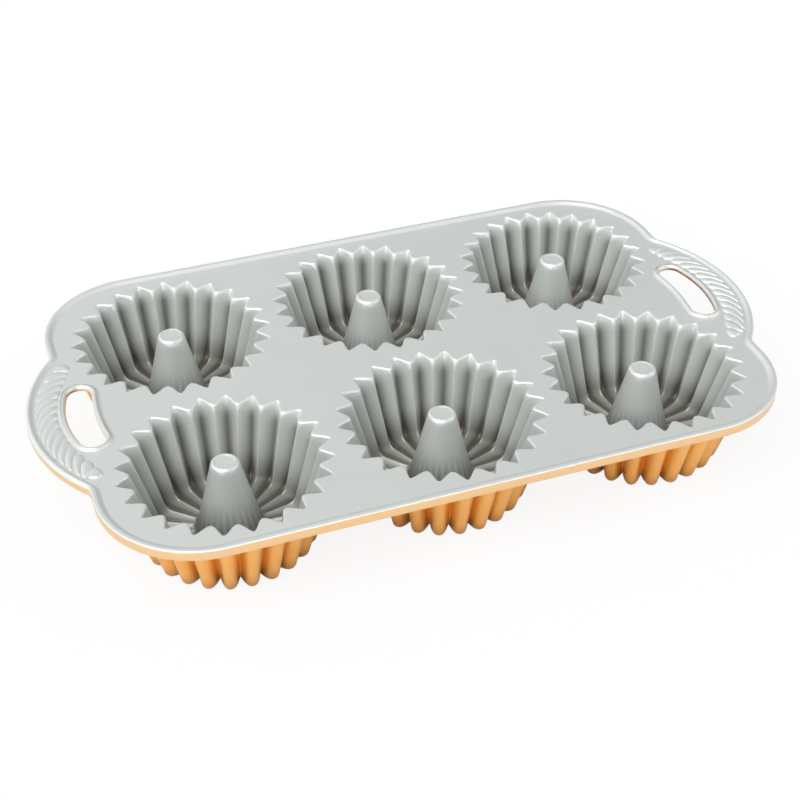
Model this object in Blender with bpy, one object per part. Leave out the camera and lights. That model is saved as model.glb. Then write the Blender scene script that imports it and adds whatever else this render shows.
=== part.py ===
# Mini bundt pan: a cast pan with six fluted cups, a centre tube in each cup, and a looped handle at each end.
# +X runs along the pan, +Y to its back and +Z up. The origin is under the middle of the pan, on the surface it stands on.

import functools
import math

import bmesh
import bpy

# Driving dimensions, in metres and degrees

# Cups
flute_count = 24
tip_radius = 0.0545
flute_depth = 0.0072
cup_depth = 0.0443
wall_thickness = 0.003
floor_thickness = 0.003
tip_wall_run = 0.0115
tip_toe_run = 0.0055
tip_toe_height = 0.0048
root_wall_run = 0.0108
root_toe_run = 0.0040
root_toe_height = 0.0033
rib_height = 0.0035
rib_height_at_hub = 0.0014
rest_ring_width = 0.0062
hub_radius = 0.0182

# Centre tubes
tube_top_radius = 0.0073
tube_middle_radius = 0.0120
tube_base_radius = 0.0160
tube_middle_depth = 0.0208
tube_wall = 0.003
tube_fillet = 0.0022
tube_top_round = 0.0014
dish_radius = 0.0052
dish_depth = 0.0006

# Deck round the cups
cup_gap_x = 0.006
cup_gap_y = 0.0079
side_margin = 0.00845
end_margin = 0.0125
corner_tightening = 0.0025
side_straight = 0.00945
deck_thickness = 0.0032
edge_depth = 0.0046
skirt_width = 0.0036
skirt_slope = 0.0010
rim_height = 0.0015
rim_width = 0.0046
rim_round = 0.0010

# Handle lobes and their openings
lobe_overhang = 0.0208
notch_radius = 0.008
opening_from_edge = 0.0203
opening_width = 0.0145
opening_to_cup = 0.00494
opening_end_radius = 0.0065
bead_width = 0.0038

# Rope relief on the handles
rope_from_edge = 0.0050
rope_width = 0.0114
rope_height = 0.0017
rope_groove_depth = 0.0009
rope_sink = 0.0012
rope_from_notch = 0.0010
rope_slant_angle = 8.5
strand_count = 16

# Parting between each handle and the deck
parting_from_side = 0.0122
parting_from_bead = 0.0026
parting_past_rim = 0.0024
shoulder_past_opening = 0.0180
neck_inside_opening = 0.0020
fit_gap = 0.0003
cut_overrun = 0.010

# Shares and counts that set how the round shapes are drawn
flute_land_share = 0.12
parting_notch_share = 0.5
toe_wall_share = 0.6
dish_floor_share = 0.8
rope_side_share = 0.2
rope_taper_shares = (0.50, 0.82, 0.96)
rope_cross_shares = (-1.0, -0.8, -0.3, 0.3, 0.8, 1.0)
lobe_segments = 8
notch_segments = 4
corner_segments = 8
opening_side_segments = 3
opening_end_segments = 6
tube_segments = 24
smooth_angle = 35

# Places worked out from the driving dimensions
cup_pitch_x = 2 * tip_radius + cup_gap_x
cup_pitch_y = 2 * tip_radius + cup_gap_y
half_length = cup_pitch_x + tip_radius + end_margin
half_width = cup_pitch_y / 2 + tip_radius + side_margin
deck_height = cup_depth + floor_thickness
root_radius = tip_radius - flute_depth
tip_foot = (tip_radius - tip_wall_run, cup_depth - tip_toe_height)
tip_toe = (tip_foot[0] - tip_toe_run, cup_depth)
root_toe_depth = cup_depth - rib_height
root_foot = (root_radius - root_wall_run, root_toe_depth - root_toe_height)
root_toe = (root_foot[0] - root_toe_run, root_toe_depth)
rest_ring_radius = hub_radius + rest_ring_width
corner_radius = tip_radius - corner_tightening
notch_x = half_length + notch_radius
notch_y = half_width - corner_radius - side_straight
lobe_radius = (lobe_overhang**2 + notch_y**2) / (2 * lobe_overhang) - notch_radius
handle_end = half_length + lobe_overhang
lobe_centre = handle_end - lobe_radius
lobe_angle = math.degrees(math.atan2(notch_y, notch_x - lobe_centre))
opening_outer_side = handle_end - opening_from_edge
opening_inner_side = opening_outer_side - opening_width
opening_outer_radius = opening_outer_side - lobe_centre
rope_middle_radius = lobe_radius - rope_from_edge - rope_width / 2
rope_half_angle = lobe_angle - math.degrees(rope_from_notch / rope_middle_radius)

silver = {"name": "silver grey release coating", "colour": (0.60, 0.62, 0.61, 1), "roughness": 0.42, "metallic": 0.55}
gold = {"name": "gold outside coating", "colour": (0.72, 0.40, 0.12, 1), "roughness": 0.35, "metallic": 0.6}

columns = {"left": -1, "middle": 0, "right": 1}
rows = {"front": -1, "back": 1}
handles = {"left": -1, "right": 1}

# The flutes of every second cup are turned by half a flute, so that the points of neighbouring cups pass each other.
cups = [
    {
        "name": f"{row}_{column}",
        "centre": (cup_pitch_x * along, cup_pitch_y / 2 * across),
        "turned": (along + max(across, 0)) % 2 == 0,
    }
    for row, across in rows.items()
    for column, along in columns.items()
]


def clear_scene():
    for item in list(bpy.data.objects):
        bpy.data.objects.remove(item, do_unlink=True)


def make_material(look):
    material = bpy.data.materials.new(look["name"])
    material.use_nodes = True
    shader = material.node_tree.nodes["Principled BSDF"]
    shader.inputs["Base Color"].default_value = look["colour"]
    shader.inputs["Roughness"].default_value = look["roughness"]
    shader.inputs["Metallic"].default_value = look["metallic"]
    return material


def make_object(name, bm, look):
    """One named object with its own material, from a closed mesh."""
    bmesh.ops.recalc_face_normals(bm, faces=bm.faces)
    mesh = bpy.data.meshes.new(name)
    bm.to_mesh(mesh)
    bm.free()
    mesh.shade_smooth()
    mesh.set_sharp_from_angle(angle=math.radians(smooth_angle))
    mesh.materials.append(make_material(look))
    item = bpy.data.objects.new(name, mesh)
    bpy.context.scene.collection.objects.link(item)
    return item


def make_guide(name, bm):
    """A shape that cuts or joins a piece and is not a piece itself."""
    guide = make_object(name, bm, silver)
    guide.hide_render = True
    guide.display_type = "WIRE"
    return guide


def add_boolean(item, guide, operation):
    modifier = item.modifiers.new(guide.name, "BOOLEAN")
    modifier.operation = operation
    modifier.object = guide


def polar(centre, radius, degrees):
    angle = math.radians(degrees)
    return (centre[0] + radius * math.cos(angle), centre[1] + radius * math.sin(angle))


def arc(centre, radius, start, end, segments):
    return [polar(centre, radius, start + (end - start) * step / segments) for step in range(segments + 1)]


def add_ring(bm, points):
    return [bm.verts.new(point) for point in points]


def add_level_ring(bm, outline, height):
    return add_ring(bm, [(x, y, height) for x, y in outline])


def bridge(bm, first, second):
    """Quads between two rings that have as many points."""
    for index in range(len(first)):
        bm.faces.new((first[index - 1], first[index], second[index], second[index - 1]))


def bridge_all(bm, rings):
    for first, second in zip(rings, rings[1:]):
        bridge(bm, first, second)


def fill_between(bm, rings):
    """Flat triangles inside the first ring and outside the others."""
    edges = [bm.edges.get((vertex, ring[index - 1])) for ring in rings for index, vertex in enumerate(ring)]
    bmesh.ops.triangle_fill(bm, use_beauty=True, use_dissolve=False, edges=edges)


# Deck


def pan_outline(inset):
    """Outline of the pan with its handle lobes, moved in by the inset."""
    lobe = arc((lobe_centre, 0), lobe_radius - inset, 0, lobe_angle, lobe_segments)
    notch = arc((notch_x, notch_y), notch_radius + inset, 180 + lobe_angle, 180, notch_segments)
    corner_centre = (half_length - corner_radius, half_width - corner_radius)
    corner = arc(corner_centre, corner_radius - inset, 0, 90, corner_segments)
    quarter = lobe + notch[1:] + corner
    upper = quarter + [(-x, y) for x, y in reversed(quarter)]
    return upper + [(x, -y) for x, y in reversed(upper[1:-1])]


def opening_end():
    """Centre of an opening's round end, which follows its outer side and keeps clear of the nearest cup."""
    from_lobe = opening_outer_radius - opening_end_radius
    from_cup = tip_radius + opening_to_cup + bead_width + opening_end_radius
    across_x = cup_pitch_x - lobe_centre
    across_y = cup_pitch_y / 2
    apart = math.hypot(across_x, across_y)
    along = (from_lobe**2 - from_cup**2 + apart**2) / (2 * apart)
    angle = math.degrees(math.atan2(across_y, across_x) - math.acos(along / from_lobe))
    return polar((lobe_centre, 0), from_lobe, angle)


def opening_outline(side, offset):
    """Kidney shape of a handle opening, moved out by the offset. side is 1 on the right and -1 on the left."""
    end_x, end_y = opening_end()
    end_angle = math.degrees(math.atan2(end_y, end_x - lobe_centre))
    waist = end_x - opening_inner_side
    inner_radius = (end_y**2 + waist**2 - opening_end_radius**2) / (2 * (opening_end_radius - waist))
    inner_centre = opening_inner_side - inner_radius
    inner_angle = math.degrees(math.atan2(end_y, end_x - inner_centre))
    outer = arc((lobe_centre, 0), opening_outer_radius + offset, 0, end_angle, opening_side_segments)
    end = arc((end_x, end_y), opening_end_radius + offset, end_angle, 180 + inner_angle, opening_end_segments)
    inner = arc((inner_centre, 0), inner_radius - offset, inner_angle, 0, opening_side_segments)
    upper = outer + end[1:] + inner[1:]
    points = upper + [(x, -y) for x, y in reversed(upper[1:-1])]
    return [(side * x, y) for x, y in points]


def edge_profile(width):
    """Inset and height of each ring of a raised edge, from the underside of the deck round the edge to its top."""
    return [
        (skirt_width + skirt_slope, deck_height - deck_thickness),
        (skirt_width, deck_height - edge_depth),
        (0, deck_height - edge_depth),
        (0, deck_height + rim_height - rim_round),
        (rim_round, deck_height + rim_height),
        (width - rim_round, deck_height + rim_height),
        (width, deck_height),
    ]


def inner_outline(cup, tip, root):
    """Inside of the flutes at one level, a sharp point out and one in for each. tip and root are (radius, depth)."""
    pitch = 360 / flute_count
    start = pitch / 2 if cup["turned"] else 0
    points = []
    for flute in range(flute_count):
        for (radius, depth), angle in ((tip, flute * pitch), (root, (flute + 1 / 2) * pitch)):
            points.append((*polar(cup["centre"], radius, start + angle), deck_height - depth))
    return points


def outer_outline(cup, tip, root):
    """Outside of the flutes at one level, a narrow land and a sharp groove for each. tip and root are (radius, depth)."""
    pitch = 360 / flute_count
    land = flute_land_share * pitch
    start = pitch / 2 if cup["turned"] else 0
    points = []
    for flute in range(flute_count):
        middle = flute * pitch
        for (radius, depth), angle in ((tip, middle - land), (tip, middle + land), (root, middle + pitch / 2)):
            points.append((*polar(cup["centre"], radius, start + angle), deck_height - depth))
    return points


def along_wall(depth):
    """Radius and depth of the inner wall's tips and roots, at a depth in its straight part."""
    tip = tip_radius - tip_wall_run * depth / tip_foot[1]
    root = root_radius - root_wall_run * depth / root_foot[1]
    return (tip, depth), (root, depth)


def build_plate():
    """The whole deck with both lobes, raised rims, cup holes and handle openings."""
    bm = bmesh.new()
    outlines = [(pan_outline, rim_width)]
    outlines += [(functools.partial(opening_outline, side), bead_width) for side in handles.values()]
    tops = []
    bottoms = []
    for outline, width in outlines:
        rings = [add_level_ring(bm, outline(inset), height) for inset, height in edge_profile(width)]
        bridge_all(bm, rings)
        bottoms.append(rings[0])
        tops.append(rings[-1])
    for cup in cups:
        top = add_ring(bm, inner_outline(cup, *along_wall(0)))
        bottom = add_ring(bm, inner_outline(cup, *along_wall(deck_thickness)))
        bridge(bm, top, bottom)
        tops.append(top)
        bottoms.append(bottom)
    fill_between(bm, tops)
    fill_between(bm, bottoms)
    return bm


# Handles


def parting_outline(side, gap):
    """Outline of the space of one handle, drawn in by the gap where it meets the deck."""
    across_rim = 180 + lobe_angle * parting_notch_share
    notch = polar((notch_x, notch_y), gap, across_rim + 90)
    past_rim = polar(notch, notch_radius + rim_width + parting_past_rim, across_rim)
    shoulder = half_length - parting_from_side + gap
    neck = opening_inner_side - bead_width - parting_from_bead + gap
    opening_top = opening_end()[1] + opening_end_radius
    upper = [
        (handle_end + cut_overrun, notch[1]),
        notch,
        past_rim,
        (shoulder, opening_top + shoulder_past_opening),
        (neck, opening_top - neck_inside_opening),
    ]
    points = upper + [(x, -y) for x, y in reversed(upper)]
    return [(side * x, y) for x, y in points]


def build_prism(outline):
    """A block through the deck from above its rim to below its edge."""
    bm = bmesh.new()
    low = add_level_ring(bm, outline, deck_height - edge_depth - cut_overrun)
    high = add_level_ring(bm, outline, deck_height + rim_height + cut_overrun)
    bridge(bm, low, high)
    bm.faces.new(low)
    bm.faces.new(high)
    return bm


def rope_section(side, step):
    """Points across the rope at one step along it, on the slant of its strands. Odd steps are crests."""
    steps = 2 * strand_count
    from_end = min(step, steps - step)
    taper = rope_taper_shares[from_end] if from_end < len(rope_taper_shares) else 1
    half = rope_width / 2 * taper
    along = rope_half_angle * (2 * step / steps - 1)
    crest = rope_height if step % 2 else rope_height - rope_groove_depth
    points = []
    for across in rope_cross_shares:
        angle = along - rope_slant_angle / 2 * across * taper**2
        x, y = polar((lobe_centre, 0), rope_middle_radius + half * across, angle)
        rise = crest * (rope_side_share + (1 - rope_side_share) * math.sqrt(1 - across**2))
        points.append((side * x, y, deck_height + rise))
    return points


def build_rope(side):
    """The rope relief, sunk a little into the deck that it stands on."""
    bm = bmesh.new()
    rings = []
    for step in range(2 * strand_count + 1):
        above = rope_section(side, step)
        sunk = deck_height - rope_sink
        rings.append(add_ring(bm, above + [(*above[-1][:2], sunk), (*above[0][:2], sunk)]))
    bridge_all(bm, rings)
    bm.faces.new(rings[0])
    bm.faces.new(rings[-1])
    return bm


def make_deck_and_handles():
    plate = build_plate()
    deck = make_object("deck_plate", plate.copy(), silver)
    for name, side in handles.items():
        add_boolean(deck, make_guide(f"deck_cutter_{name}", build_prism(parting_outline(side, 0))), "DIFFERENCE")
        handle = make_object(f"handle_{name}", plate.copy(), silver)
        space = make_guide(f"handle_space_{name}", build_prism(parting_outline(side, fit_gap)))
        add_boolean(handle, space, "INTERSECT")
        add_boolean(handle, make_guide(f"rope_{name}", build_rope(side)), "UNION")
    plate.free()


# Cups and centre tubes


def build_cup(cup):
    """A fluted shell that hangs under the deck, with a round seat for the centre tube in its floor."""
    bm = bmesh.new()
    top_depth = deck_thickness + fit_gap
    rest_depth = cup_depth + floor_thickness
    toe_wall = toe_wall_share * wall_thickness
    toe_floor = toe_wall_share * floor_thickness
    tip_top, root_top = along_wall(top_depth)
    tip_hub = (hub_radius, cup_depth)
    root_hub = (hub_radius, cup_depth - rib_height_at_hub)
    hub_outside = (hub_radius, rest_depth)
    rest_ring = (rest_ring_radius, rest_depth)
    inside = [(tip_top, root_top), (tip_foot, root_foot), (tip_toe, root_toe), (tip_hub, root_hub)]
    outside = [
        ((tip_top[0] + wall_thickness, top_depth), (root_top[0] + wall_thickness, top_depth)),
        (
            (tip_foot[0] + wall_thickness, tip_foot[1] + toe_floor),
            (root_foot[0] + wall_thickness, root_foot[1] + toe_floor),
        ),
        ((tip_toe[0] + toe_wall, rest_depth), (root_toe[0] + toe_wall, root_toe[1] + floor_thickness)),
        (rest_ring, rest_ring),
        (hub_outside, hub_outside),
    ]
    inner_rings = [add_ring(bm, inner_outline(cup, tip, root)) for tip, root in inside]
    outer_rings = [add_ring(bm, outer_outline(cup, tip, root)) for tip, root in outside]
    bridge_all(bm, inner_rings)
    bridge_all(bm, outer_rings)
    for inner, outer in ((inner_rings[0], outer_rings[0]), (inner_rings[-1], outer_rings[-1])):
        bridge_flutes(bm, inner, outer)
    return bm


def bridge_flutes(bm, inner, outer):
    """Faces between an inside ring of two points a flute and an outside ring of three."""
    for flute in range(flute_count):
        point = inner[2 * flute]
        root = inner[2 * flute + 1]
        root_before = inner[2 * flute - 1]
        land_start = outer[3 * flute]
        land_end = outer[3 * flute + 1]
        groove = outer[3 * flute + 2]
        groove_before = outer[3 * flute - 1]
        bm.faces.new((root_before, groove_before, land_start, point))
        bm.faces.new((point, land_start, land_end))
        bm.faces.new((point, land_end, groove, root))


def build_tube(cup):
    """A closed cone with a dished top, hollow from below, seated in the cup's floor."""
    bm = bmesh.new()
    seat_radius = hub_radius - fit_gap
    profile = [
        (tube_top_radius - tube_wall, deck_height - tube_wall),
        (tube_middle_radius - tube_wall, deck_height - tube_middle_depth),
        (tube_base_radius - tube_wall, 0),
        (seat_radius, 0),
        (seat_radius, floor_thickness),
        (tube_base_radius, floor_thickness + tube_fillet),
        (tube_middle_radius, deck_height - tube_middle_depth),
        (tube_top_radius, deck_height - tube_top_round),
        (tube_top_radius - tube_top_round, deck_height),
        (dish_radius, deck_height),
        (dish_radius * dish_floor_share, deck_height - dish_depth),
    ]
    turn = 360 / tube_segments
    rings = []
    for radius, height in profile:
        outline = [polar(cup["centre"], radius, turn * step) for step in range(tube_segments)]
        rings.append(add_level_ring(bm, outline, height))
    bridge_all(bm, rings)
    bm.faces.new(rings[0])
    bm.faces.new(rings[-1])
    return bm


def main():
    clear_scene()
    make_deck_and_handles()
    for cup in cups:
        make_object(f"cup_{cup['name']}", build_cup(cup), gold)
        make_object(f"centre_tube_{cup['name']}", build_tube(cup), silver)


main()
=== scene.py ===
# Pan for six small ring cakes, cast in aluminium: fluted cups round centre tubes, a flat deck with a raised
# rim, and a looped handle with a rope relief at each end. Silver release coating inside, gold paint outside.
import math

import bmesh
import bpy
import numpy as np
from mathutils import Euler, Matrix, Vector


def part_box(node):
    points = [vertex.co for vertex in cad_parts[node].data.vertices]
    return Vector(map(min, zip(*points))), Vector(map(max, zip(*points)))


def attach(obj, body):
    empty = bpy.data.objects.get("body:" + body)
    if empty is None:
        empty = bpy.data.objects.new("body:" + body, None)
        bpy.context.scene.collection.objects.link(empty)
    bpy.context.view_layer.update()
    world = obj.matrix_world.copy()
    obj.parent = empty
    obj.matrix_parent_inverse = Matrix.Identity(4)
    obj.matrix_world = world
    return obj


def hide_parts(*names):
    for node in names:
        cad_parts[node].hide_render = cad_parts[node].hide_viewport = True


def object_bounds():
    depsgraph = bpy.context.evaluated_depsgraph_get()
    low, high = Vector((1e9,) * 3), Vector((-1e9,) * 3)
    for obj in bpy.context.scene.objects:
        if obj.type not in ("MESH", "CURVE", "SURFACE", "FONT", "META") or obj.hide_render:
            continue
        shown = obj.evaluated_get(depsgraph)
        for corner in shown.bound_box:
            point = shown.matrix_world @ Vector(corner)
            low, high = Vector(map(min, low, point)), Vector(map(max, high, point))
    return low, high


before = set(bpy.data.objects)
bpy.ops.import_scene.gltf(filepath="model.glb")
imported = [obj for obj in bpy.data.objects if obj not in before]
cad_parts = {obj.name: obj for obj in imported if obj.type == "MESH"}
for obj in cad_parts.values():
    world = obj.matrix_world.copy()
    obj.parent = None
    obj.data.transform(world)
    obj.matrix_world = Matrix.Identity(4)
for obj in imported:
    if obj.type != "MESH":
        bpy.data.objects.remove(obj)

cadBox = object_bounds()
mm = 0.001  # the dictionaries are in millimetres and degrees
turn, halfTurn, quarterTurn = 360, 180, 90
silver, gold = 0, 1  # places of the coatings on each mesh
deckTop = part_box("centre_tube_front_left")[1].z / mm  # the centre tubes end level with the deck
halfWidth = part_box("deck_plate")[1].y / mm
handleEnd = cadBox[1].x / mm
print("frame loaded, deck at", round(deckTop, 2), "mm")

# Cups. Heights are measured from the deck, downwards. Each flute has a point outwards and a ridge inwards.
cupSizes = {
    "flutes": 24,
    "samples": 16,  # points round each flute
    "crowding": 0.72,  # how far they crowd towards the point and the ridge
    "pointRadius": 54.3,
    "ridgeRadius": 47.2,
    "pointLean": 0.291,  # the wall's inward run for each millimetre down
    "ridgeLean": 0.288,
    "depth": 44.3,
    "ridgeDepth": 40.8,
    "pointBend": 5.5,  # round where the wall meets the floor
    "ridgeBend": 5.0,
    "roundHeights": (0, 1.5, 7, 40),  # below the deck, where the next two lines' shares hold
    "pointRounds": (0.18, 0.17, 0.11, 0.10),  # shares of half a flute that are rounded
    "ridgeRounds": (0.46, 0.42, 0.15, 0.12),
    "mouthRound": 1.4,
    "mouthSteps": 6,
    "ridgeWidening": 1.3,  # the rounded mouth is this much wider over a ridge
    "support": 0.2,  # flat ring that keeps the deck's shading level
    "wallSteps": 10,
    "bendSteps": 9,
    "floorSteps": 7,
}

rows = {"front": -1, "back": 1}
columns = {"left": -1, "middle": 0, "right": 1}


# Middle of a cup on the plan, and whether its flutes are turned by half a flute
def cupPlace(row, column):
    low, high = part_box(f"cup_{row}_{column}")
    turned = (columns[column] + max(rows[row], 0)) % 2 == 0
    return {"centre": np.array([(low.x + high.x) / 2, (low.y + high.y) / 2]) / mm, "turned": turned}


# Straight runs with round bends. A corner is (x, y) or (x, y, bend).
# The steps are given for each run and for each bend.
def roundedLine(corners, runSteps, bendSteps):
    line = [np.array(corners[0][:2], float)]
    for index in range(1, len(corners)):
        here = np.array(corners[index][:2], float)
        before = np.array(corners[index - 1][:2], float)
        arc = [here]
        if index < len(corners) - 1:
            inward = (here - before) / np.linalg.norm(here - before)
            onward = np.array(corners[index + 1][:2], float) - here
            onward /= np.linalg.norm(onward)
            bend = math.acos(np.clip(inward @ onward, -1, 1))
            radius = corners[index][2]
            reach = radius * math.tan(bend / 2)
            side = math.copysign(1, inward[0] * onward[1] - inward[1] * onward[0])
            normal = side * np.array([-inward[1], inward[0]])
            middle = here - inward * reach + normal * radius
            arc = []
            for step in range(bendSteps[index - 1] + 1):
                angle = bend * step / bendSteps[index - 1]
                arc.append(middle - normal * radius * math.cos(angle) + inward * radius * math.sin(angle))
        start = line[-1]
        steps = runSteps[index - 1]
        line += [start + (arc[0] - start) * step / steps for step in range(1, steps)]
        line += arc
    return np.array(line)


# Samples round a cup: their angles, and where each lies in its flute, from 0 at the point to 1 at the ridge
def fluteSamples(turned):
    even = np.linspace(-1, 1, cupSizes["samples"], endpoint=False)
    share = even - cupSizes["crowding"] * np.sin(2 * np.pi * even) / (2 * np.pi)
    start = 0.5 if turned else 0
    flutes = np.arange(cupSizes["flutes"])[:, None] + share[None, :] / 2 + start
    angles = np.radians(flutes * turn / cupSizes["flutes"]).ravel()
    return angles, np.tile(np.abs(share), cupSizes["flutes"])


# Straight-sided flute: 1 at the rounded point, 0 at the rounded ridge, which is rounder near the mouth
def insideWave(share, height):
    share = share[None, :]
    atPoint = np.interp(-height, cupSizes["roundHeights"], cupSizes["pointRounds"])[:, None]
    atRidge = np.interp(-height, cupSizes["roundHeights"], cupSizes["ridgeRounds"])[:, None]
    past = np.maximum(share - (1 - atRidge), 0)
    fall = np.where(share < atPoint, share**2 / (2 * atPoint), share - atPoint / 2) - past**2 / (2 * atRidge)
    return 1 - fall / (1 - atPoint / 2 - atRidge / 2)


# Outside of the cups: full round flutes with a tight crease between.
# The pan stands on their finger-like ends.
outsideSizes = {
    "pointRadius": 57.5,
    "creaseRadius": 50.3,
    "creaseDepth": 44.3,
    "fingerBend": 5.5,
    "creaseBend": 3.5,
    "fullness": 2.3,  # 2 is a parabola, more is squarer
    "creaseRound": 0.08,
    "underDeckRound": 1.5,
    "restRadius": 24.4,  # inside this the underside is a flat ring
    "restBend": 1,
    "runSteps": (2, 8, 10, 1),
    "bendSteps": (2, 9, 5),
}


# Full round flute: 1 at its middle, 0 in the crease
def outsideWave(share, height):
    share = share[None, :] + 0 * height[:, None]
    power, tight = outsideSizes["fullness"], outsideSizes["creaseRound"]
    edge = 1 - tight
    slope = power * edge ** (power - 1)
    past = np.maximum(share - edge, 0)
    fall = np.minimum(share, edge) ** power + slope * (past - past**2 / (2 * tight))
    return 1 - fall / (edge**power + slope * tight / 2)


def smooth(value, start, full):
    share = np.clip((value - start) / (full - start), 0, 1)
    return share * share * (3 - 2 * share)


# Painted shade: where the coatings are painted darker to stand in for shade; below 0 a painted highlight
# makes them paler. Heights are measured from the deck, downwards; the others are shares.
paintedShadeSizes = {
    "wallStart": 3.2,
    "wallFull": 11.0,
    "floorStart": 24.0,
    "footStart": 20.0,
    "floorFull": 44.0,
    "point": 0.8,
    "pointPower": 2.2,
    "floor": 0.62,
    "crease": 0.2,
    "creasePower": 2.0,
    "line": -0.7,  # below 0 is a painted highlight: the very bottom of a crease is painted paler, where the gold gathers the light
    "lineShare": 0.02,
    "tips": 0.8,  # painted shade on the lower ends of the outer flutes
    "tipStart": 34.0,
    "band": -1.0,  # painted highlight: the outer edge of the deck and the handles is painted paler
    # painted highlight, a little weaker, on the thin edges of the handle openings
    "openingBand": -0.8,
}


# Painted shade inside a cup: how much darker the coating is painted where shade falls, down the walls towards
# the points of the flutes, and on the floor
def insidePaintedShade(height, mix):
    size = paintedShadeSizes
    down = smooth(-height, size["wallStart"], size["wallFull"])[:, None]
    floor = smooth(-height, size["floorStart"], size["floorFull"])[:, None]
    return down * (size["point"] * np.maximum(mix, 0) ** size["pointPower"] + size["floor"] * floor)


# Painted shade on the tubes: they stand out in the open and are painted darker only at the foot, most between
# the ribs
def tubePaintedShade(height, mix):
    size = paintedShadeSizes
    foot = smooth(-height, size["footStart"], size["floorFull"])[:, None]
    return foot * (size["floor"] + (1 - size["floor"]) * mix)


# Painted shade on the outside of the cups: darker in the creases and at the finger ends, with a painted
# highlight along the very bottom of each crease
def outsidePaintedShade(height, mix):
    size = paintedShadeSizes
    tips = smooth(-height, size["tipStart"], deckTop)[:, None]
    line = (mix < size["lineShare"]) * size["line"] * (1 - tips)
    crease = size["crease"] * (1 - mix) ** size["creasePower"]
    return np.where(line < 0, line, np.minimum(crease + size["tips"] * tips, 1))


# Rings round one cup from a line through the flutes' points and one through the ridges. Both lines are
# (radius, height), and a ring's places are (x, y, height, painted shade or highlight).
def fluteRings(cup, pointLine, ridgeLine, wave, paintedShadeOf):
    angles, share = fluteSamples(cup["turned"])
    mix = wave(share, ridgeLine[:, 1])
    line = pointLine[:, None, :] * mix[..., None] + ridgeLine[:, None, :] * (1 - mix[..., None])
    x = cup["centre"][0] + line[..., 0] * np.cos(angles)
    y = cup["centre"][1] + line[..., 0] * np.sin(angles)
    return np.stack([x, y, deckTop + line[..., 1], paintedShadeOf(ridgeLine[:, 1], mix)], axis=-1)


# Centre tubes: a cone with soft ribs at its foot that run on from the ridges of the floor
tubeSizes = {
    "footRadius": 15.9,
    "ribFootRadius": 17.6,
    "ribFootDepth": 42.2,
    "footBend": 3.0,
    "middleRadius": 12.0,
    "middleDepth": 20.8,
    "middleBend": 60.0,
    "topRadius": 7.0,
    "topBend": 2.1,
    "dishEdge": 5.7,
    "dishRadius": 5.0,
    "dishDepth": 0.45,
    "dishBend": 0.8,
    "coneSteps": 8,
    "roundSteps": 6,
    "poleRadius": 0.3,
    "wall": 3.0,
    "hollowBend": 1.8,
    "hollowEase": 0.6,  # the hollow is this much wider at both ends
    "dishRunSteps": (1, 1, 3),
    "dishBendSteps": (4, 4),
    "hollowRunSteps": (2, 5, 5, 2),
    "hollowBendSteps": (5, 2, 5),
}


# The inner surface from the mouth to the foot of the tube, along the points and along the ridges
def insideLines():
    cup, tube = cupSizes, tubeSizes
    top = deckSizes["thickness"]
    atPoints = (cup["pointRadius"], cup["pointLean"], cup["depth"], cup["pointBend"])
    atRidges = (cup["ridgeRadius"], cup["ridgeLean"], cup["ridgeDepth"], cup["ridgeBend"])
    feet = ((tube["footRadius"], -cup["depth"]), (tube["ribFootRadius"], -tube["ribFootDepth"]))
    steps = (cup["wallSteps"], cup["floorSteps"], tube["coneSteps"])
    lines = []
    for (radius, lean, depth, bend), foot in zip((atPoints, atRidges), feet):
        corners = [
            (radius - lean * top, -top),
            (radius - lean * depth, -depth, bend),
            (*foot, tube["footBend"]),
            (tube["middleRadius"], -tube["middleDepth"]),
        ]
        lines.append(roundedLine(corners, steps, (cup["bendSteps"], tube["roundSteps"])))
    return lines


# How many places of the inside lines belong to the cup. The tube starts where its foot begins to bend up.
def cupShareOfInside():
    return cupSizes["wallSteps"] + cupSizes["bendSteps"] + cupSizes["floorSteps"] + 1


def seamRadius():
    return insideLines()[0][cupShareOfInside() - 1][0]


# The mouth's rounded edge, from a flat ring on the deck down to the deck's underside
def mouthLines():
    size = cupSizes
    bend = math.pi / 2 - math.atan(size["pointLean"])
    reach = size["mouthRound"] * math.tan(bend / 2)
    places = [(reach + size["support"], 0)]
    for step in range(size["mouthSteps"] + 1):
        angle = bend * step / size["mouthSteps"]
        drop = size["mouthRound"] * (1 - math.cos(angle))
        places.append((reach - size["mouthRound"] * math.sin(angle) + size["pointLean"] * drop, drop))
    places.append((0, deckSizes["thickness"]))
    pointLine = [(size["pointRadius"] - size["pointLean"] * drop + out, -drop) for out, drop in places]
    widening = size["ridgeWidening"]
    ridgeLine = [
        (size["ridgeRadius"] - size["ridgeLean"] * drop + out * widening, -drop)
        for out, drop in places
    ]
    return np.array(pointLine), np.array(ridgeLine)


# The outer surface, from the tube's seat outwards and up to the deck's underside
def outsideLines():
    size = outsideSizes
    top, rest = deckSizes["thickness"], deckTop
    lines = []
    for radius, lean, depth, bend in (
        (size["pointRadius"], cupSizes["pointLean"], rest, size["fingerBend"]),
        (size["creaseRadius"], cupSizes["ridgeLean"], size["creaseDepth"], size["creaseBend"]),
    ):
        atDeck = radius - lean * top
        corners = [
            (seamRadius(), -rest),
            (size["restRadius"], -rest, size["restBend"]),
            (radius - lean * depth, -depth, bend),
            (atDeck, -top, size["underDeckRound"]),
            (atDeck + 2 * size["underDeckRound"], -top),  # gives the bend its direction and is left off
        ]
        line = roundedLine(corners, size["runSteps"], size["bendSteps"])
        lines.append(line[:-1])
    return lines


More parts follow.
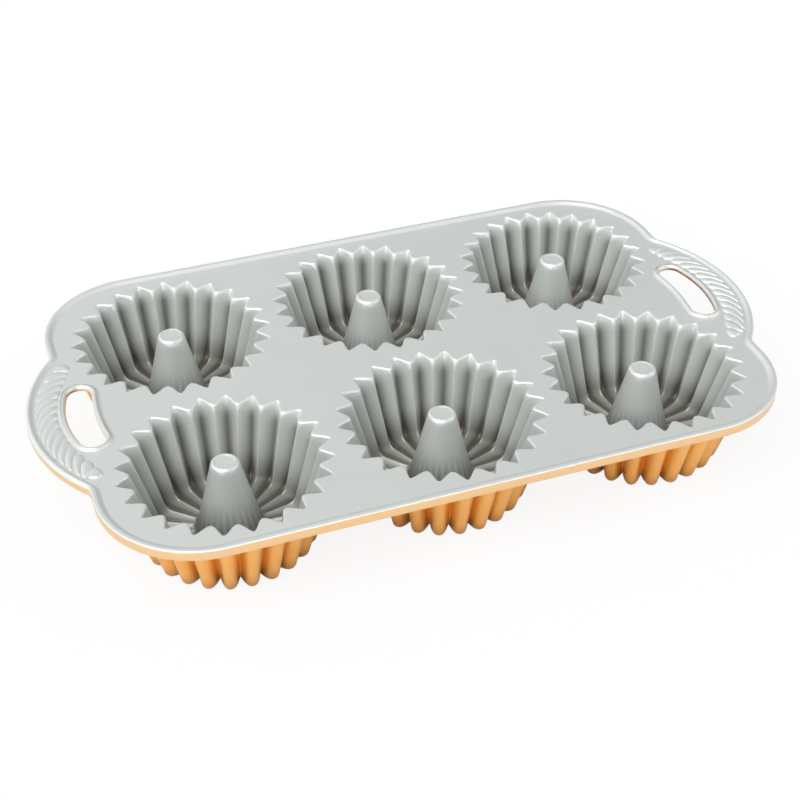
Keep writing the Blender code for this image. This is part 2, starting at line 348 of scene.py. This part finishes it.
# A body from rings that all have as many points. A closed one joins its last ring to its first, and an
# open one ends in two flat faces.
def meshFromRings(rings, materialOf, closed):
    count, around = rings.shape[:2]
    ringIndex = np.arange(count * around).reshape(count, around)
    pairs = [(ringIndex[k], ringIndex[k + 1]) for k in range(count - 1)]
    if closed:
        pairs.append((ringIndex[-1], ringIndex[0]))
    faces, materials = [], []
    for number, (first, second) in enumerate(pairs):
        quads = np.stack([first, np.roll(first, -1), np.roll(second, -1), second], axis=1)
        faces += quads.tolist()
        materials += [materialOf(number)] * around
    if not closed:
        faces += [ringIndex[0].tolist()[::-1], ringIndex[-1].tolist()]
        materials += [materialOf(0), materialOf(len(pairs) - 1)]
    return rings.reshape(-1, rings.shape[-1]), faces, materials


leastEdge = 0.002  # millimetres; shorter edges are closed up, so that no face is left without area
sharpAngle = 38  # degrees; faces that meet at more than this keep a sharp edge


def finishMesh(name, mesh):
    solid = bmesh.new()
    solid.from_mesh(mesh)
    bmesh.ops.dissolve_degenerate(solid, dist=leastEdge * mm, edges=solid.edges)
    bmesh.ops.recalc_face_normals(solid, faces=solid.faces)
    solid.to_mesh(mesh)
    solid.free()
    mesh.shade_smooth()
    mesh.set_sharp_from_angle(angle=math.radians(sharpAngle))
    for material in (silverCoating, goldCoating):
        mesh.materials.append(material)
    piece = bpy.data.objects.new(name, mesh)
    bpy.context.scene.collection.objects.link(piece)
    return piece


def ringPiece(name, rings, materialOf, closed):
    places, faces, materials = meshFromRings(rings, materialOf, closed)
    mesh = bpy.data.meshes.new(name)
    mesh.from_pydata((places[:, :3] * mm).tolist(), [], faces)
    mesh.polygons.foreach_set("material_index", materials)
    # each place's painted shade or painted highlight, which the coatings read
    paintedShadeAndHighlight = mesh.attributes.new("paintedShadeAndHighlight", "FLOAT", "POINT")
    paintedShadeAndHighlight.data.foreach_set("value", places[:, 3].tolist())
    return finishMesh(name, mesh)


def dress(piece, node):
    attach(piece, "root")
    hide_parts(node)


def makeCup(row, column):
    cup = cupPlace(row, column)
    inside = insideLines()
    last = cupShareOfInside()
    inner = fluteRings(cup, inside[0][:last], inside[1][:last], insideWave, insidePaintedShade)
    outer = fluteRings(cup, *outsideLines(), outsideWave, outsidePaintedShade)
    rings = np.concatenate([inner, outer])
    name = f"cup{row.title()}{column.title()}"
    piece = ringPiece(name, rings, lambda number: gold if number >= last - 1 else silver, True)
    dress(piece, f"cup_{row}_{column}")


def makeTube(row, column):
    cup = cupPlace(row, column)
    size = tubeSizes
    inside = insideLines()
    first = cupShareOfInside() - 1
    foot = fluteRings(cup, inside[0][first:], inside[1][first:], insideWave, tubePaintedShade)
    top = roundedLine(
        [
            (size["middleRadius"], -size["middleDepth"]),
            (size["topRadius"], 0, size["topBend"]),
            (size["dishEdge"], 0, size["dishBend"]),
            (size["dishRadius"], -size["dishDepth"], size["dishBend"]),
            (size["poleRadius"], -size["dishDepth"]),
        ],
        (size["coneSteps"], *size["dishRunSteps"]),
        (size["roundSteps"], *size["dishBendSteps"]),
    )
    top = top[1:]
    cone = fluteRings(cup, top, top, insideWave, tubePaintedShade)
    hollow = roundedLine(
        [
            (seamRadius(), -deckTop),
            (size["footRadius"] - size["wall"] + size["hollowEase"], -deckTop, size["hollowBend"]),
            (size["middleRadius"] - size["wall"], -size["middleDepth"], size["middleBend"]),
            (size["topRadius"] - size["wall"] + size["hollowEase"], -size["wall"], size["hollowBend"]),
            (size["poleRadius"], -size["wall"]),
        ],
        size["hollowRunSteps"],
        size["hollowBendSteps"],
    )
    under = fluteRings(cup, hollow, hollow, insideWave, tubePaintedShade)
    rings = np.concatenate([cone[::-1], foot[::-1], under])
    seen = len(cone) + len(foot)
    name = f"tube{row.title()}{column.title()}"
    piece = ringPiece(name, rings, lambda number: gold if number >= seen else silver, False)
    dress(piece, f"centre_tube_{row}_{column}")


def polar(centre, radius, angle):
    return np.array([centre[0] + radius * np.cos(angle), centre[1] + radius * np.sin(angle)])


# Round stretch of an outline, with the direction that points out of the metal at each place
def arcStations(centre, radius, start, end, segments, outward, width):
    angles = np.radians(start + (end - start) * np.linspace(0, 1, segments + 1))
    return [(polar(centre, radius, a), outward * polar((0, 0), 1, a), width) for a in angles]


# Deck with its raised rim
deckSizes = {
    "thickness": 3.2,
    "cornerRadius": 52.0,
    "halfLength": 182.0,
    "edgeDepth": 4.6,
    "skirtWidth": 3.7,
    "skirtFoot": 4.6,
    "skirtRound": 0.5,
    "edgeRound": 0.8,
    "rimHeight": 1.5,
    "rimRound": 0.8,
    "crestWidth": 2.3,
    "crestBend": 1.6,
    "footBend": 2.0,
    "footBack": 0.7,
    "rimWidth": 5.2,
    "skirtSteps": 2,
    "edgeSteps": 3,
    "bandSteps": 2,
    "rimSteps": 5,
    "support": 0.25,
    "cornerSegments": 40,
    "sideSegments": 4,
    "backSegments": 16,
}

# Handles: a round lobe, a kidney opening with a bead round it, and a rope relief
handleSizes = {
    "notchRadius": 8.0,
    "sideStraight": 9.45,
    "rimWidth": 4.0,
    "rimRound": 1.9,
    "openingFromEdge": 20.3,
    "openingWidth": 14.5,
    "openingEndRadius": 6.5,
    "openingHalf": 26.0,
    "beadWidth": 3.5,
    "openingDepth": 1.5,  # the thin edge of the opening, below the deck
    "bevelWidth": 3.6,
    "bevelDepth": 2.6,
    "lobeSegments": 30,
    "notchSegments": 14,
    "openingSideSegments": 12,
    "openingEndSegments": 16,
    "pastRim": 2.2,
    "shoulder": (169.8, 44.0),  # where the handle is parted from the deck
    "neck": (161.6, 24.0),
}


# The lobe's arc, worked out so that it runs smoothly into the round notch beside it
def handleShape():
    deck, handle = deckSizes, handleSizes
    overhang = handleEnd - deck["halfLength"]
    notchX = deck["halfLength"] + handle["notchRadius"]
    notchY = halfWidth - deck["cornerRadius"] - handle["sideStraight"]
    lobeRadius = (overhang**2 + notchY**2) / (2 * overhang) - handle["notchRadius"]
    lobeCentre = handleEnd - lobeRadius
    lobeAngle = math.degrees(math.atan2(notchY, notchX - lobeCentre))
    return {
        "notch": (notchX, notchY),
        "lobeRadius": lobeRadius,
        "lobeCentre": (lobeCentre, 0),
        "lobeAngle": lobeAngle,
    }


# The pan's outline, anticlockwise from the end of the right handle
def panStations():
    deck, handle, shape = deckSizes, handleSizes, handleShape()
    wide, narrow = deck["rimWidth"], handle["rimWidth"]
    angle = shape["lobeAngle"]
    quarter = arcStations(
        shape["lobeCentre"], shape["lobeRadius"], 0, angle, handle["lobeSegments"], 1, narrow
    )
    notch = arcStations(
        shape["notch"], handle["notchRadius"], halfTurn + angle, halfTurn, handle["notchSegments"], -1, narrow
    )
    for index, (place, outward, _) in enumerate(notch[1:], 1):
        widened = narrow + (wide - narrow) * smooth(index, 0, handle["notchSegments"])
        quarter.append((place, outward, widened))
    low = notch[-1][0]
    cornerCentre = (deck["halfLength"] - deck["cornerRadius"], halfWidth - deck["cornerRadius"])
    corner = arcStations(cornerCentre, deck["cornerRadius"], 0, quarterTurn, deck["cornerSegments"], 1, wide)
    for step in range(1, deck["sideSegments"]):
        place = low + (corner[0][0] - low) * step / deck["sideSegments"]
        quarter.append((place, np.array([1.0, 0.0]), wide))
    quarter += corner
    last = corner[-1][0]
    for step in range(1, deck["backSegments"] + 1):
        place = last * np.array([1 - step / deck["backSegments"], 1])
        quarter.append((place, np.array([0.0, 1.0]), wide))
    flipX, flipY = np.array([-1, 1]), np.array([1, -1])
    upper = quarter + [(p * flipX, n * flipX, w) for p, n, w in reversed(quarter[:-1])]
    return upper + [(p * flipY, n * flipY, w) for p, n, w in reversed(upper[1:-1])]


# The kidney opening of the right handle, with directions that point out of the metal, into the opening
def openingStations():
    handle, shape = handleSizes, handleShape()
    centre = shape["lobeCentre"]
    outerSide = handleEnd - handle["openingFromEdge"]
    innerSide = outerSide - handle["openingWidth"]
    outerRadius = outerSide - centre[0]
    end = handle["openingEndRadius"]
    endY = handle["openingHalf"] - end
    endX = centre[0] + math.sqrt((outerRadius - end) ** 2 - endY**2)
    endAngle = math.degrees(math.atan2(endY, endX - centre[0]))
    waist = endX - innerSide
    innerRadius = (endY**2 + waist**2 - end**2) / (2 * (end - waist))
    innerCentre = (innerSide - innerRadius, 0)
    innerAngle = math.degrees(math.atan2(endY, endX - innerCentre[0]))
    width = handle["beadWidth"]
    sides, ends = handle["openingSideSegments"], handle["openingEndSegments"]
    upper = arcStations(centre, outerRadius, 0, endAngle, sides, -1, width)
    upper += arcStations((endX, endY), end, endAngle, halfTurn + innerAngle, ends, -1, width)[1:]
    upper += arcStations(innerCentre, innerRadius, innerAngle, 0, sides, 1, width)[1:]
    flip = np.array([1, -1])
    return upper + [(p * flip, n * flip, w) for p, n, w in reversed(upper[1:-1])]


# Section of a raised edge, (inset, height), from the underside round the edge to the flat deck. The pan's
# outline has a skirt below its edge; the handle openings are bevelled from below instead.
def edgeLine(width, skirt):
    deck, handle = deckSizes, handleSizes
    below = [
        (deck["skirtFoot"], -deck["thickness"], deck["skirtRound"]),
        (deck["skirtWidth"], -deck["edgeDepth"], deck["skirtRound"]),
        (0, -deck["edgeDepth"], deck["edgeRound"]),
    ]
    if not skirt:
        below = [
            (handle["bevelWidth"], -deck["thickness"], deck["skirtRound"]),
            (handle["bevelWidth"] / 2, -handle["bevelDepth"], deck["skirtRound"]),
            (0, -handle["openingDepth"], deck["skirtRound"]),
        ]
    widths, rounds = (handle["rimWidth"], deck["rimWidth"]), (handle["rimRound"], deck["rimRound"])
    softness = np.interp(width, widths, rounds)
    corners = [
        (deck["skirtFoot"] + deck["support"], -deck["thickness"]),
        *below,
        (0, deck["rimHeight"], softness),
        (deck["crestWidth"], deck["rimHeight"], deck["crestBend"]),
        (width - deck["footBack"], 0, deck["footBend"]),
        (width + deck["support"], 0),
    ]
    below = (deck["skirtSteps"], deck["skirtSteps"], deck["edgeSteps"])
    above = (deck["rimSteps"], deck["rimSteps"], deck["rimSteps"])
    return roundedLine(corners, (1, 1, 1, deck["bandSteps"], 1, 1, 1), (*below, *above))


# Places along the edge section, from 0; a bend has one more than it has steps. The band of painted highlight,
# which makes the edge paler, begins one step into the third bend, and the silver coating starts at the top of
# the upright.
paintedHighlightFrom = 1 + 2 * (deckSizes["skirtSteps"] + 1) + 1
silverFrom = paintedHighlightFrom + deckSizes["edgeSteps"] + deckSizes["bandSteps"] - 1


def stationColumn(solid, station, side, skirt=True):
    place, outward, width = station
    paintedShading = solid.verts.layers.float["paintedShadeAndHighlight"]
    column = []
    for level, (inset, height) in enumerate(edgeLine(width, skirt)):
        x, y = place - outward * inset
        vertex = solid.verts.new((side * x * mm, y * mm, (deckTop + height) * mm))
        # the band's places carry the painted highlight that makes them paler
        if paintedHighlightFrom <= level <= silverFrom:
            vertex[paintedShading] = paintedShadeSizes["band" if skirt else "openingBand"]
        column.append(vertex)
    return column


def addFace(solid, corners, material):
    face = solid.faces.new(corners)
    face.material_index = material
    return face


def bridgeColumns(solid, columns, closed):
    pairs = list(zip(columns, columns[1:]))
    if closed:
        pairs.append((columns[-1], columns[0]))
    for first, second in pairs:
        for level in range(len(first) - 1):
            corners = (first[level], second[level], second[level + 1], first[level + 1])
            addFace(solid, corners, gold if level < silverFrom else silver)


# Edges along a loop, made where they are missing
def loopEdges(solid, loop):
    edges = []
    for index, vertex in enumerate(loop):
        pair = (loop[index - 1], vertex)
        edges.append(solid.edges.get(pair) or solid.edges.new(pair))
    return edges


# Flat faces inside the first loop and outside the others
def fillFlat(solid, loops, material):
    edges = [edge for loop in loops for edge in loopEdges(solid, loop)]
    made = bmesh.ops.triangle_fill(solid, use_beauty=True, use_dissolve=False, edges=edges)
    for item in made["geom"]:
        if isinstance(item, bmesh.types.BMFace):
            item.material_index = material


# The parting between handle and deck, on the plan of the right handle, from its back end to its front end
def partingLine(stations, index):
    handle = handleSizes
    place, outward, width = stations[index]
    past = place - outward * (width + deckSizes["support"] + handle["pastRim"])
    back = [tuple(past), handle["shoulder"], handle["neck"]]
    return back + [(x, -y) for x, y in reversed(back)]


def partingPoints(solid, line, side, height):
    return [solid.verts.new((side * x * mm, y * mm, height * mm)) for x, y in line]


# Upright wall from the top chain down to the bottom chain
def addWall(solid, top, bottom):
    for index in range(len(top) - 1):
        addFace(solid, (top[index], top[index + 1], bottom[index + 1], bottom[index]), silver)


def ringVerts(solid, ring):
    return [solid.verts.new(place[:3] * mm) for place in ring]


def makeDeck():
    stations = panStations()
    solid = bmesh.new()
    # a layer for the painted shade and highlight of each place
    solid.verts.layers.float.new("paintedShadeAndHighlight")
    count = len(stations)
    half = count // 2
    split = handleSizes["lobeSegments"] + handleSizes["notchSegments"] // 2
    back = [stationColumn(solid, stations[index], 1) for index in range(split, half - split + 1)]
    front = [stationColumn(solid, stations[index], 1) for index in range(half + split, count - split + 1)]
    for strip in (back, front):
        bridgeColumns(solid, strip, False)
        addFace(solid, strip[0], silver)
        addFace(solid, strip[-1], silver)
    line = partingLine(stations, split)
    tops, bottoms = [], []
    for side, first, second in ((1, back[0], front[-1]), (-1, back[-1], front[0])):
        top = partingPoints(solid, line, side, deckTop)
        bottom = partingPoints(solid, line, side, deckTop - deckSizes["thickness"])
        addWall(solid, [first[-1], *top, second[-1]], [first[0], *bottom, second[0]])
        tops.append(top)
        bottoms.append(bottom)
    loops = []
    for level, chains in ((-1, tops), (0, bottoms)):
        loop = [column[level] for column in back] + chains[1]
        loop += [column[level] for column in front] + chains[0][::-1]
        loops.append([loop])
    for row in rows:
        for column in columns:
            mouth = fluteRings(cupPlace(row, column), *mouthLines(), insideWave, insidePaintedShade)
            rings = [ringVerts(solid, ring) for ring in mouth]
            for first, second in zip(rings, rings[1:]):
                for index in range(len(first)):
                    corners = (first[index - 1], first[index], second[index], second[index - 1])
                    addFace(solid, corners, silver)
            loops[0].append(rings[0])
            loops[1].append(rings[-1])
    fillFlat(solid, loops[0], silver)
    fillFlat(solid, loops[1], gold)
    mesh = bpy.data.meshes.new("deckPlate")
    solid.to_mesh(mesh)
    solid.free()
    dress(finishMesh("deckPlate", mesh), "deck_plate")


# Rope relief on each handle: a band of slanted strands that narrows at both ends
ropeSizes = {
    "innerRadius": 72.4,
    "outerRadius": 84.0,
    "halfAngle": 38.9,
    "strands": 16,
    "height": 1.4,
    "slant": 8.6,  # degrees round the lobe from a strand's inner end to its outer end
    "curl": 1.7,  # 1 is a straight strand, more starts radial and ends along the band
    "touch": 1.12,  # width of a strand over the spacing
    "endPower": 2.8,
    "taperStrands": 3.0,
    "taper": 0.8,
    "endHeight": 0.7,  # share of the height that doesn't follow the taper
    "rows": 30,
    "columns": 14,
}


# Height of the rope relief: a long rounded strand round each whole number of the phase
def ropeHeight(phase, across):
    rope = ropeSizes
    strand = np.clip(np.floor(phase), 0, rope["strands"] - 1) + 0.5
    beside = 2 * (phase - strand) / rope["touch"]
    along = 2 * across - 1
    inside = 1 - np.abs(beside) ** 2 - np.abs(along) ** rope["endPower"]
    return rope["height"] * np.sqrt(np.maximum(inside, 0))


# A grid that follows the strands. Its border lies flat on the handle.
def ropeGrid():
    rope, shape = ropeSizes, handleShape()
    overlap = (rope["touch"] - 1) / 2
    whole = np.arange(rope["strands"] * rope["columns"] + 1) / rope["columns"]
    phase = np.concatenate([[-overlap], whole, [rope["strands"] + overlap]])[:, None]
    across = (0.5 - 0.5 * np.cos(np.pi * np.arange(rope["rows"] + 1) / rope["rows"]))[None, :]
    fromEnd = np.clip(np.minimum(phase, rope["strands"] - phase) / rope["taperStrands"], 0, 1)
    taper = np.sqrt(1 - rope["taper"] * (1 - fromEnd) ** 2)
    turnIn = smooth(fromEnd, 0, 1)
    middle = (rope["innerRadius"] + rope["outerRadius"]) / 2
    halfBand = (rope["outerRadius"] - rope["innerRadius"]) / 2
    radius = middle + halfBand * taper * (2 * across - 1)
    bent = across ** rope["curl"] - 0.5 ** rope["curl"]
    degrees = rope["halfAngle"] * (2 * phase / rope["strands"] - 1) - rope["slant"] * turnIn * bent
    x, y = polar(shape["lobeCentre"], radius, np.radians(degrees))
    lowered = rope["endHeight"] + (1 - rope["endHeight"]) * taper
    z = deckTop + ropeHeight(phase, across) * lowered
    return np.stack([x, y, z], axis=-1)


def addRope(solid, side):
    grid = ropeGrid() * np.array([side, 1, 1]) * mm
    verts = [[solid.verts.new(place) for place in line] for line in grid]
    for first, second in zip(verts, verts[1:]):
        for index in range(len(first) - 1):
            addFace(solid, (first[index], first[index + 1], second[index + 1], second[index]), silver)
    border = [line[0] for line in verts] + verts[-1][1:]
    return border + [line[-1] for line in reversed(verts[:-1])] + verts[0][-2:0:-1]


def makeHandle(name, side):
    stations = panStations()
    solid = bmesh.new()
    # a layer for the painted shade and highlight of each place
    solid.verts.layers.float.new("paintedShadeAndHighlight")
    split = handleSizes["lobeSegments"] + handleSizes["notchSegments"] // 2
    lobe = [stationColumn(solid, stations[index], side) for index in range(-split, split + 1)]
    bridgeColumns(solid, lobe, False)
    addFace(solid, lobe[0], silver)
    addFace(solid, lobe[-1], silver)
    line = partingLine(stations, split)
    top = partingPoints(solid, line, side, deckTop)
    bottom = partingPoints(solid, line, side, deckTop - deckSizes["thickness"])
    addWall(solid, [lobe[-1][-1], *top, lobe[0][-1]], [lobe[-1][0], *bottom, lobe[0][0]])
    opening = [stationColumn(solid, station, side, skirt=False) for station in openingStations()]
    bridgeColumns(solid, opening, True)
    border = addRope(solid, side)
    topLoop = [column[-1] for column in lobe] + top
    bottomLoop = [column[0] for column in lobe] + bottom
    fillFlat(solid, [topLoop, [column[-1] for column in opening], border], silver)
    fillFlat(solid, [bottomLoop, [column[0] for column in opening]], gold)
    mesh = bpy.data.meshes.new(f"handle{name.title()}")
    solid.to_mesh(mesh)
    solid.free()
    dress(finishMesh(f"handle{name.title()}", mesh), f"handle_{name}")


# Colours are written as sRGB hex values and used as linear ones; the numbers are the sRGB standard's
def linear(hexColour):
    values = [int(hexColour[start:start + 2], 16) / 255 for start in (1, 3, 5)]
    return [v / 12.92 if v <= 0.04045 else ((v + 0.055) / 1.055) ** 2.4 for v in values] + [1]


# Adds one node. A setting goes to the node's property of that name, or else to its input; links name an
# input too. A Mix node has its numbers at the inputs 2 and 3, and its colours at 6, 7 and the output 2.
def addNode(tree, kind, settings, links=()):
    node = tree.nodes.new(kind)
    for name, value in settings.items():
        if isinstance(name, str) and hasattr(node, name):
            setattr(node, name, value)
        else:
            node.inputs[name].default_value = value
    for name, source, output in links:
        tree.links.new(source.outputs[output], node.inputs[name])
    return node


# Release coating: a metallic grey non-stick, sprayed on cast aluminium and baked. The eye sees an even satin
# silver with a soft cloud in the pigment, a faint orange peel and edges that catch the light; the darker
# grooves and cup floors are painted shade.
silverLook = {
    "colour": "#E6EAE7",
    "cloudColour": "#E0E4E1",
    "paintedShadeColour": "#777269",
    "paintedHighlightColour": "#DCDFDC",
    "cloudSize": 28.0,
    "metallic": 0.55,
    "roughness": 0.38,
    "roughnessSpread": 0.04,
    "patchSize": 9.0,
    "coat": 0.15,
    "coatRoughness": 0.25,
    "peelSize": 1.1,  # orange peel of the spray, really about 0.8 mm, a little coarser so that it shows
    "peelDepth": 0.004,
}

# Outside coating: metallic gold paint, sprayed on the bare casting and baked. The eye sees warm satin gold
# over the fine grain of the casting; in the creases it deepens to brown, from the light between them and from
# painted shade.
goldLook = {
    "colour": "#F5BA64",
    "cloudColour": "#EFB35B",
    "paintedShadeColour": "#A87838",
    "paintedHighlightColour": "#F0C893",
    "cloudSize": 22.0,
    "metallic": 0.9,
    "roughness": 0.34,
    "roughnessSpread": 0.06,
    "patchSize": 7.0,
    "coat": 0.4,
    "coatRoughness": 0.22,
    "peelSize": 0.9,
    "peelDepth": 0.006,
}


noiseDetail = {"cloud": 3.0, "patch": 4.0, "peel": 2.0}  # how many finer layers each pattern has


def sprayedCoating(name, look):
    material = bpy.data.materials.new(name)
    material.use_nodes = True
    tree = material.node_tree
    shader = tree.nodes["Principled BSDF"]
    place = addNode(tree, "ShaderNodeTexCoord", {})
    cloud = addNode(
        tree, "ShaderNodeTexNoise", {"Scale": 1 / (look["cloudSize"] * mm), "Detail": noiseDetail["cloud"]},
        [("Vector", place, "Object")],
    )
    tint = addNode(
        tree, "ShaderNodeMix",
        {"data_type": "RGBA", 6: linear(look["colour"]), 7: linear(look["cloudColour"])}, [(0, cloud, "Fac")],
    )
    # Painted shade and highlight: the attribute mixes the colour towards the painted shade colour where it is
    # above 0, and towards the paler painted highlight colour where it is below 0
    paintedShading = addNode(tree, "ShaderNodeAttribute", {"attribute_name": "paintedShadeAndHighlight"})
    withPaintedShade = addNode(
        tree, "ShaderNodeMix", {"data_type": "RGBA", 7: linear(look["paintedShadeColour"])},
        [(0, paintedShading, "Fac"), (6, tint, 2)],
    )
    paintedHighlightShare = addNode(tree, "ShaderNodeMath", {"operation": "MULTIPLY", 1: -1.0}, [(0, paintedShading, "Fac")])
    colour = addNode(
        tree, "ShaderNodeMix", {"data_type": "RGBA", 7: linear(look["paintedHighlightColour"])},
        [(0, paintedHighlightShare, "Value"), (6, withPaintedShade, 2)],
    )
    patch = addNode(
        tree, "ShaderNodeTexNoise", {"Scale": 1 / (look["patchSize"] * mm), "Detail": noiseDetail["patch"]},
        [("Vector", place, "Object")],
    )
    low, high = look["roughness"] - look["roughnessSpread"], look["roughness"] + look["roughnessSpread"]
    rough = addNode(tree, "ShaderNodeMapRange", {"To Min": low, "To Max": high}, [("Value", patch, "Fac")])
    peel = addNode(
        tree, "ShaderNodeTexNoise", {"Scale": 1 / (look["peelSize"] * mm), "Detail": noiseDetail["peel"]},
        [("Vector", place, "Object")],
    )
    bump = addNode(
        tree, "ShaderNodeBump", {"Strength": 1.0, "Distance": look["peelDepth"] * mm},
        [("Height", peel, "Fac")],
    )
    shader.inputs["Metallic"].default_value = look["metallic"]
    shader.inputs["Coat Weight"].default_value = look["coat"]
    shader.inputs["Coat Roughness"].default_value = look["coatRoughness"]
    tree.links.new(colour.outputs[2], shader.inputs["Base Color"])
    tree.links.new(rough.outputs["Result"], shader.inputs["Roughness"])
    tree.links.new(bump.outputs["Normal"], shader.inputs["Normal"])
    return material


silverCoating = sprayedCoating("silverReleaseCoating", silverLook)
goldCoating = sprayedCoating("goldMetallicCoating", goldLook)
print("coatings made")

for row in rows:
    for column in columns:
        makeCup(row, column)
        makeTube(row, column)
print("cups and tubes made")
makeDeck()
print("deck made")
makeHandle("left", -1)
makeHandle("right", 1)
print("handles made")

# Studio: a pale floor in a white tent. The tent is dimmer at its top, on the camera's side and at the back
# right. The light comes from a narrow bright strip low on the camera's side and from a soft box high at the
# front left, with a faint one at the front right. Metres here; the sides are directions, and what begins
# and is full at a number does so at that cosine from its side.
studio = {
    "floorHalf": 3.0,
    "floorGap": 0.0001,
    "floorColour": "#EEF1F5",
    "floorRoughness": 0.9,
    "floorGlow": 0.89,  # share of the floor's white that no shadow takes away, for the camera
    "tentColour": "#FFFFFF",
    "back": 0.84,  # strength of the tent where nothing below changes it
    "top": 0.27,  # strength at its top
    "topFrom": 0.72,  # height on the sphere of directions where the top begins
    "topFull": 0.92,
    "front": 0.1,  # share of the strength that is left on the camera's side
    "frontSide": (-0.34, -0.94, 0.30),
    "frontFrom": 0.30,
    "frontFull": 0.70,
    "shade": 0.40,  # share that is left at the back right
    "shadeSide": (0.62, 0.78, 0.05),
    "shadeFrom": 0.50,
    "shadeFull": 0.95,
    "strip": 8.2,  # strength that the strip adds
    "stripFade": 0.066,  # height on the sphere up to which the strip is full
    "stripHeight": 0.11,  # and where it has faded out
    "stripFrom": 0.45,
    "stripFull": 0.85,
}
softBoxes = {
    "right": {"side": (0.60, -0.45, 0.66), "glow": 0.3, "from": 0.60, "full": 0.95},
    "left": {"side": (-0.50, -0.42, 0.77), "glow": 3.6, "from": 0.78, "full": 0.97},
}


def makeFloor():
    solid = bmesh.new()
    bmesh.ops.create_grid(solid, x_segments=1, y_segments=1, size=studio["floorHalf"])
    mesh = bpy.data.meshes.new("studioFloor")
    solid.to_mesh(mesh)
    solid.free()
    material = bpy.data.materials.new("paintedFloor")
    material.use_nodes = True
    tree = material.node_tree
    shader = tree.nodes["Principled BSDF"]
    shader.inputs["Base Color"].default_value = linear(studio["floorColour"])
    shader.inputs["Roughness"].default_value = studio["floorRoughness"]
    shader.inputs["Specular IOR Level"].default_value = 0.0
    path = addNode(tree, "ShaderNodeLightPath", {})
    glow = addNode(tree, "ShaderNodeEmission", {"Color": (1, 1, 1, 1), "Strength": 1.0})
    share = addNode(
        tree, "ShaderNodeMath", {"operation": "MULTIPLY", 1: studio["floorGlow"]},
        [(0, path, "Is Camera Ray")],
    )
    mix = addNode(
        tree, "ShaderNodeMixShader", {}, [(0, share, "Value"), (1, shader, "BSDF"), (2, glow, "Emission")]
    )
    tree.links.new(mix.outputs["Shader"], tree.nodes["Material Output"].inputs["Surface"])
    mesh.materials.append(material)
    floor = bpy.data.objects.new("studioFloor", mesh)
    floor.location.z = -studio["floorGap"]
    bpy.context.scene.collection.objects.link(floor)


def makeWorld():
    world = bpy.data.worlds.new("studio")
    bpy.context.scene.world = world
    world.use_nodes = True
    tree = world.node_tree
    tree.nodes.clear()
    place = addNode(tree, "ShaderNodeTexCoord", {})

    # Changes from low at the cosine start to high at the cosine full
    def facing(side, start, full, low, high):
        cosine = {"operation": "DOT_PRODUCT", 1: Vector(side).normalized()}
        dot = addNode(tree, "ShaderNodeVectorMath", cosine, [(0, place, "Generated")])
        ramp = {
            "interpolation_type": "SMOOTHSTEP",
            "From Min": start, "From Max": full, "To Min": low, "To Max": high,
        }
        return addNode(tree, "ShaderNodeMapRange", ramp, [("Value", dot, "Value")])

    up, near = (0, 0, 1), studio["frontSide"]
    times, plus = {"operation": "MULTIPLY"}, {"operation": "ADD"}
    top = facing(up, studio["topFrom"], studio["topFull"], studio["back"], studio["top"])
    front = facing(near, studio["frontFrom"], studio["frontFull"], 1.0, studio["front"])
    total = addNode(tree, "ShaderNodeMath", times, [(0, top, "Result"), (1, front, "Result")])
    shade = facing(studio["shadeSide"], studio["shadeFrom"], studio["shadeFull"], 1.0, studio["shade"])
    total = addNode(tree, "ShaderNodeMath", times, [(0, total, "Value"), (1, shade, "Result")])
    strip = facing(up, studio["stripFade"], studio["stripHeight"], studio["strip"], 0.0)
    nearSide = facing(near, studio["stripFrom"], studio["stripFull"], 0.0, 1.0)
    low = addNode(tree, "ShaderNodeMath", times, [(0, strip, "Result"), (1, nearSide, "Result")])
    total = addNode(tree, "ShaderNodeMath", plus, [(0, total, "Value"), (1, low, "Value")])
    for box in softBoxes.values():
        glow = facing(box["side"], box["from"], box["full"], 0.0, box["glow"])
        total = addNode(tree, "ShaderNodeMath", plus, [(0, total, "Value"), (1, glow, "Result")])
    # The camera sees the tent itself as plain white
    path = addNode(tree, "ShaderNodeLightPath", {})
    seen = addNode(
        tree, "ShaderNodeMix", {"data_type": "FLOAT", 3: 1.0},
        [(0, path, "Is Camera Ray"), (2, total, "Value")],
    )
    light = addNode(
        tree, "ShaderNodeBackground", {"Color": linear(studio["tentColour"])}, [("Strength", seen, "Result")]
    )
    addNode(tree, "ShaderNodeOutputWorld", {}, [("Surface", light, "Background")])


# The camera stands in front of the pan's left end and looks down on it. Degrees and metres, and the lens
# in millimetres.
cameraSetup = {
    "azimuth": -19.764,
    "elevation": 37.109,
    "roll": -0.183,
    "distance": 0.79437,
    "aim": (-0.01666, -0.04108),  # on the deck
    "lens": 68.755,
    "clipStart": 0.01,
}


def makeCamera():
    setup = cameraSetup
    azimuth, elevation = math.radians(setup["azimuth"]), math.radians(setup["elevation"])
    aim = Vector((*setup["aim"], deckTop * mm))
    level = math.cos(elevation)
    back = Vector((math.sin(azimuth) * level, -math.cos(azimuth) * level, math.sin(elevation)))
    data = bpy.data.cameras.new("photoCamera")
    data.lens = setup["lens"]
    data.clip_start = setup["clipStart"]
    camera = bpy.data.objects.new("photoCamera", data)
    bpy.context.scene.collection.objects.link(camera)
    camera.location = aim + back * setup["distance"]
    tilt = Euler((math.pi / 2 - elevation, 0, azimuth)).to_matrix()
    roll = Euler((0, 0, math.radians(setup["roll"]))).to_matrix()
    camera.rotation_euler = (tilt @ roll).to_euler()
    bpy.context.scene.camera = camera


makeFloor()
makeWorld()
makeCamera()
bpy.context.scene.view_settings.view_transform = "Standard"
print("studio made")
